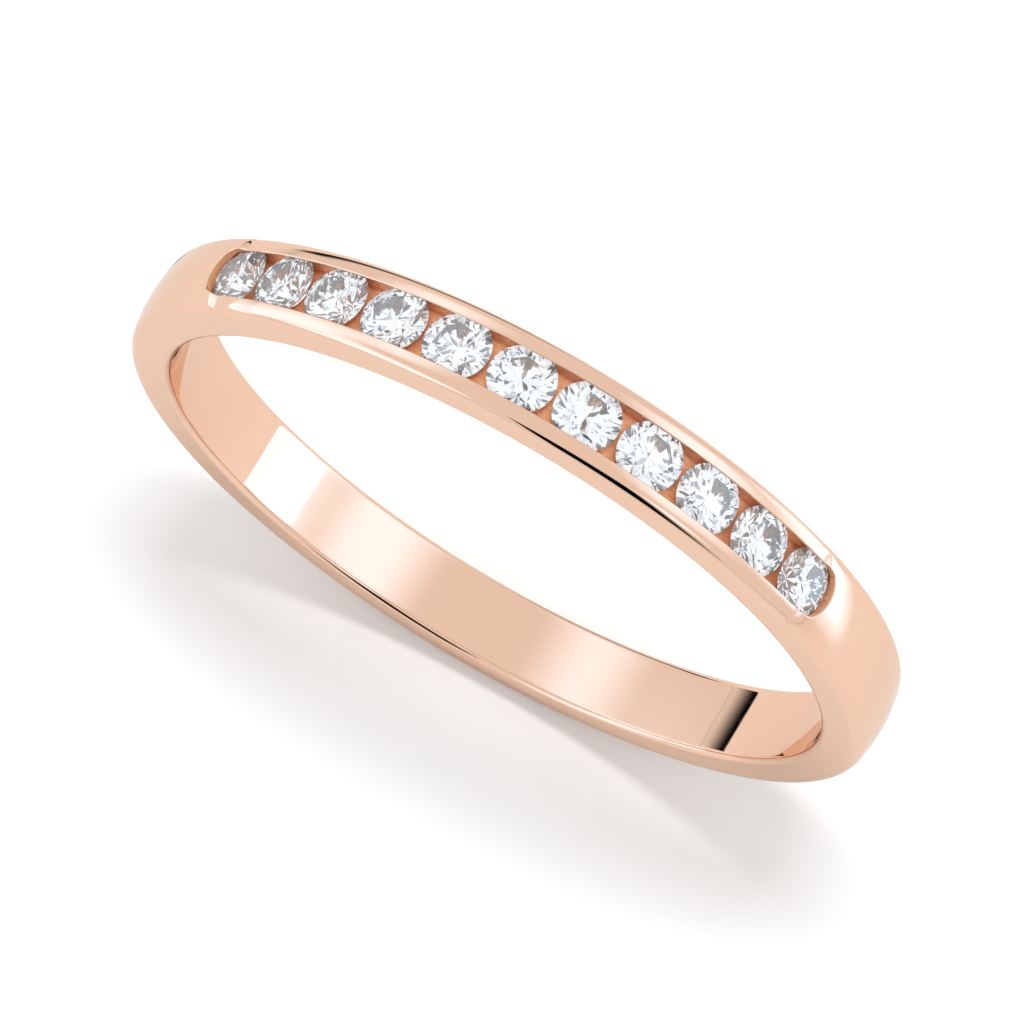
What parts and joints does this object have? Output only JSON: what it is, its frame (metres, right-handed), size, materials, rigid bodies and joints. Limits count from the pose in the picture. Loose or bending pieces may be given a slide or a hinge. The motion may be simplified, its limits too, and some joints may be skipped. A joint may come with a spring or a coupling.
{
  "type": "wedding band",
  "caption": "Slim court-section rose gold ring with a row of round brilliants held between two level rails in a channel across its top.",
  "frame": {"origin": "centre of the finger hole, half way across the band's width", "axes": "+Y along the finger hole, across the band; +Z through the middle stone; +X towards the last stone of the row"},
  "size_m": [0.0194, 0.002, 0.0193],
  "materials": {
    "rose_gold": "mirror polish outside and in, fine brushed copper tone on the channel floor",
    "diamond": "polished facets, colourless"
  },
  "bodies": {
    "root": {"band": "rose_gold", "stone_01": "diamond", "stone_02": "diamond", "stone_03": "diamond", "stone_04": "diamond", "stone_05": "diamond", "stone_06": "diamond", "stone_07": "diamond", "stone_08": "diamond", "stone_09": "diamond", "stone_10": "diamond", "stone_11": "diamond"}
  },
  "joints": []
}
